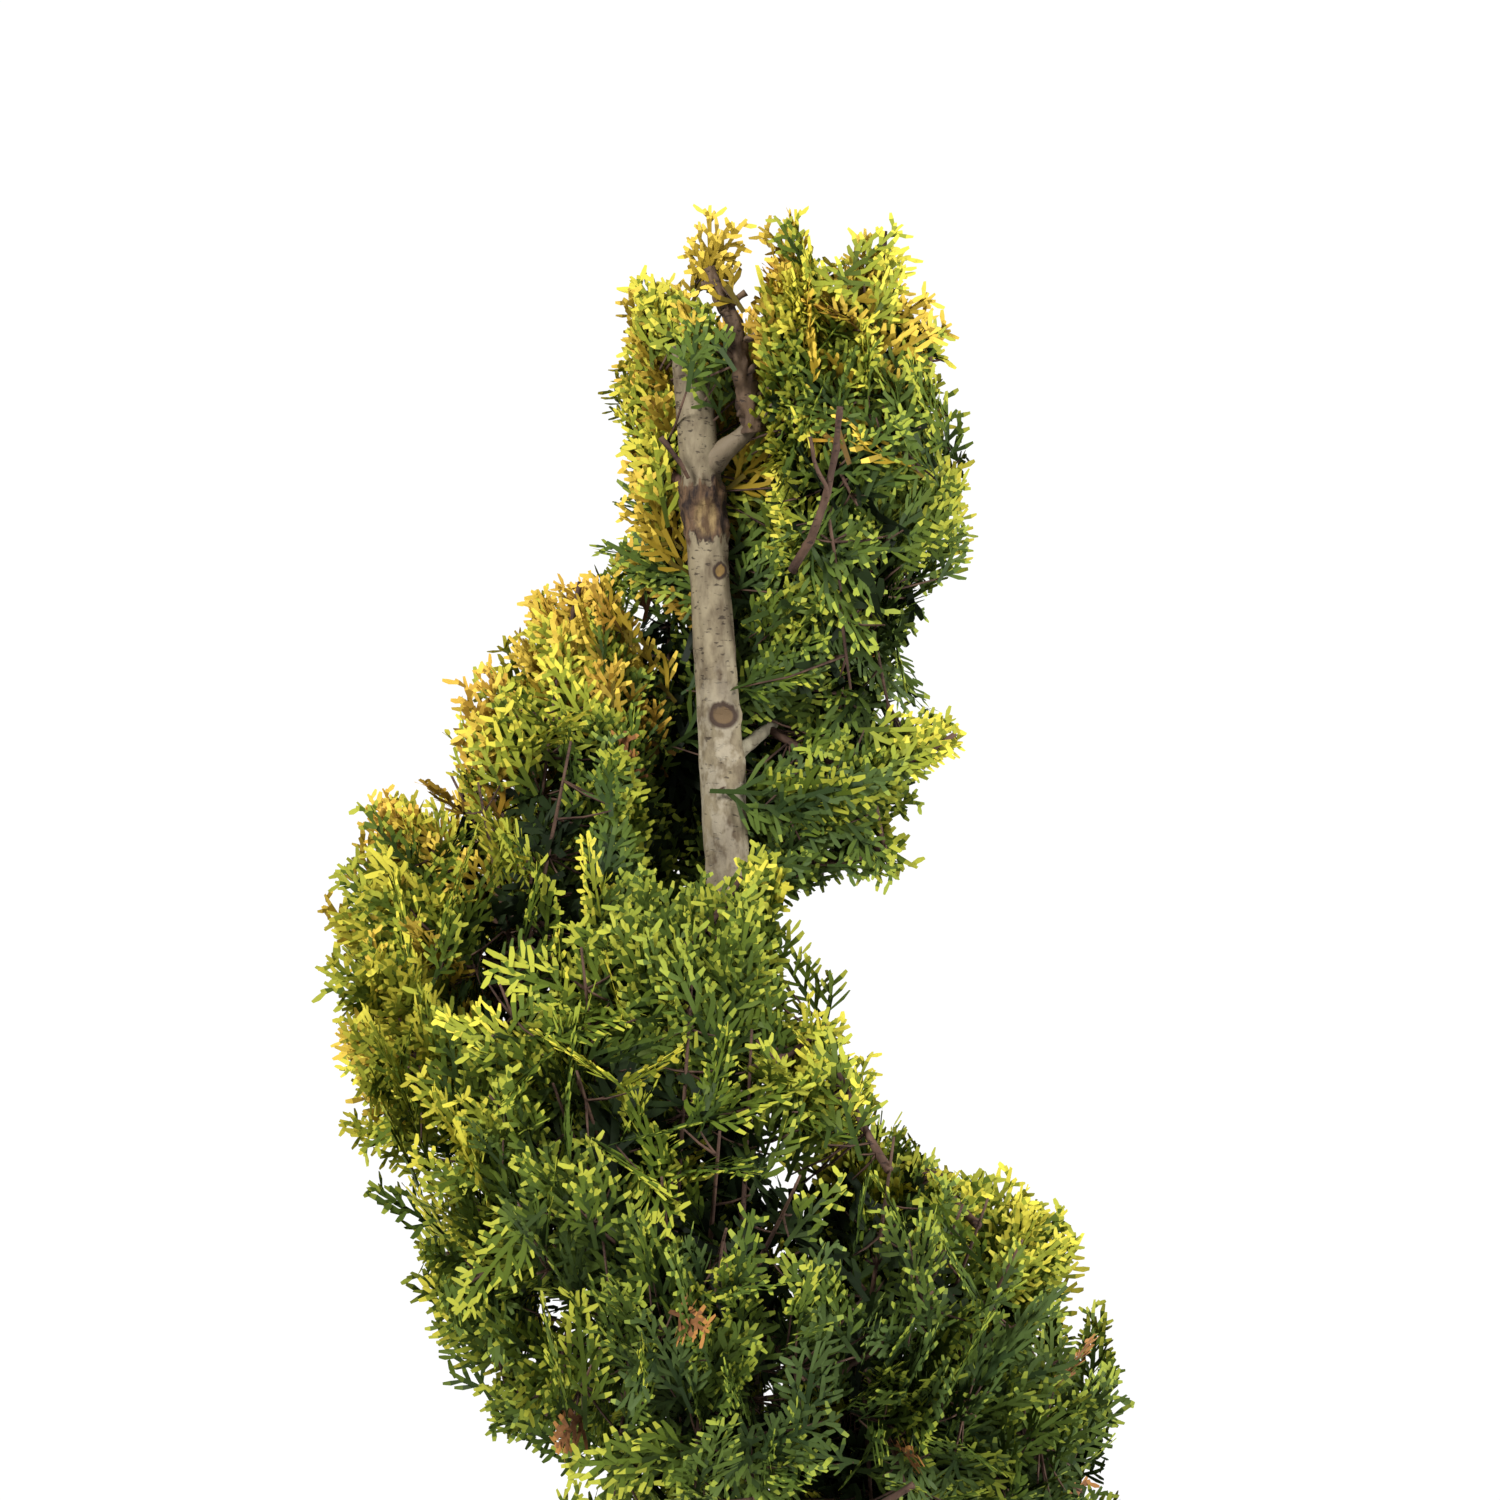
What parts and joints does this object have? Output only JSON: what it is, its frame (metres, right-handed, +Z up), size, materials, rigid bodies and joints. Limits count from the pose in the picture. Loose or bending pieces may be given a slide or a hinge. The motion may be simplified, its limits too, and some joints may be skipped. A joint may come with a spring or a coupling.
{
  "type": "spiral topiary conifer",
  "caption": "Young golden-green cypress clipped into a descending spiral ribbon of flat sprays round a bare, slightly leaning trunk.",
  "frame": {"origin": "middle of the flat cut where the trunk meets level ground", "axes": "+Z up along the trunk, +X to the right and -Y towards the viewer as the picture shows it"},
  "size_m": [0.2573, 0.2554, 1],
  "materials": {
    "bark": "smooth grey-beige bark with short dark lenticels",
    "bough_bark": "reddish-brown young bark, matt",
    "leader_bark": "rough dark brown bark",
    "green_sprays": "scale leaves, green with yellow tips, satin",
    "golden_sprays": "scale leaves, golden yellow, satin"
  },
  "bodies": {
    "root": {"trunk": "bark", "bough_01": "bough_bark", "bough_02": "bough_bark", "bough_03": "bough_bark", "bough_04": "bough_bark", "bough_05": "bough_bark", "bough_06": "bough_bark", "bough_07": "bough_bark", "bough_08": "bough_bark", "bough_09": "bough_bark", "bough_10": "bough_bark", "bough_11": "bough_bark", "bough_12": "bough_bark", "leader": "leader_bark", "crown_twig": "bough_bark", "leader_sprays": "golden_sprays", "crown_sprays": "golden_sprays", "foliage_01": "green_sprays", "foliage_02": "green_sprays", "foliage_03": "green_sprays", "foliage_04": "green_sprays", "foliage_05": "green_sprays", "foliage_06": "green_sprays", "foliage_07": "green_sprays", "foliage_08": "green_sprays", "foliage_09": "green_sprays", "foliage_10": "green_sprays", "foliage_11": "green_sprays", "foliage_12": "green_sprays"}
  },
  "joints": []
}
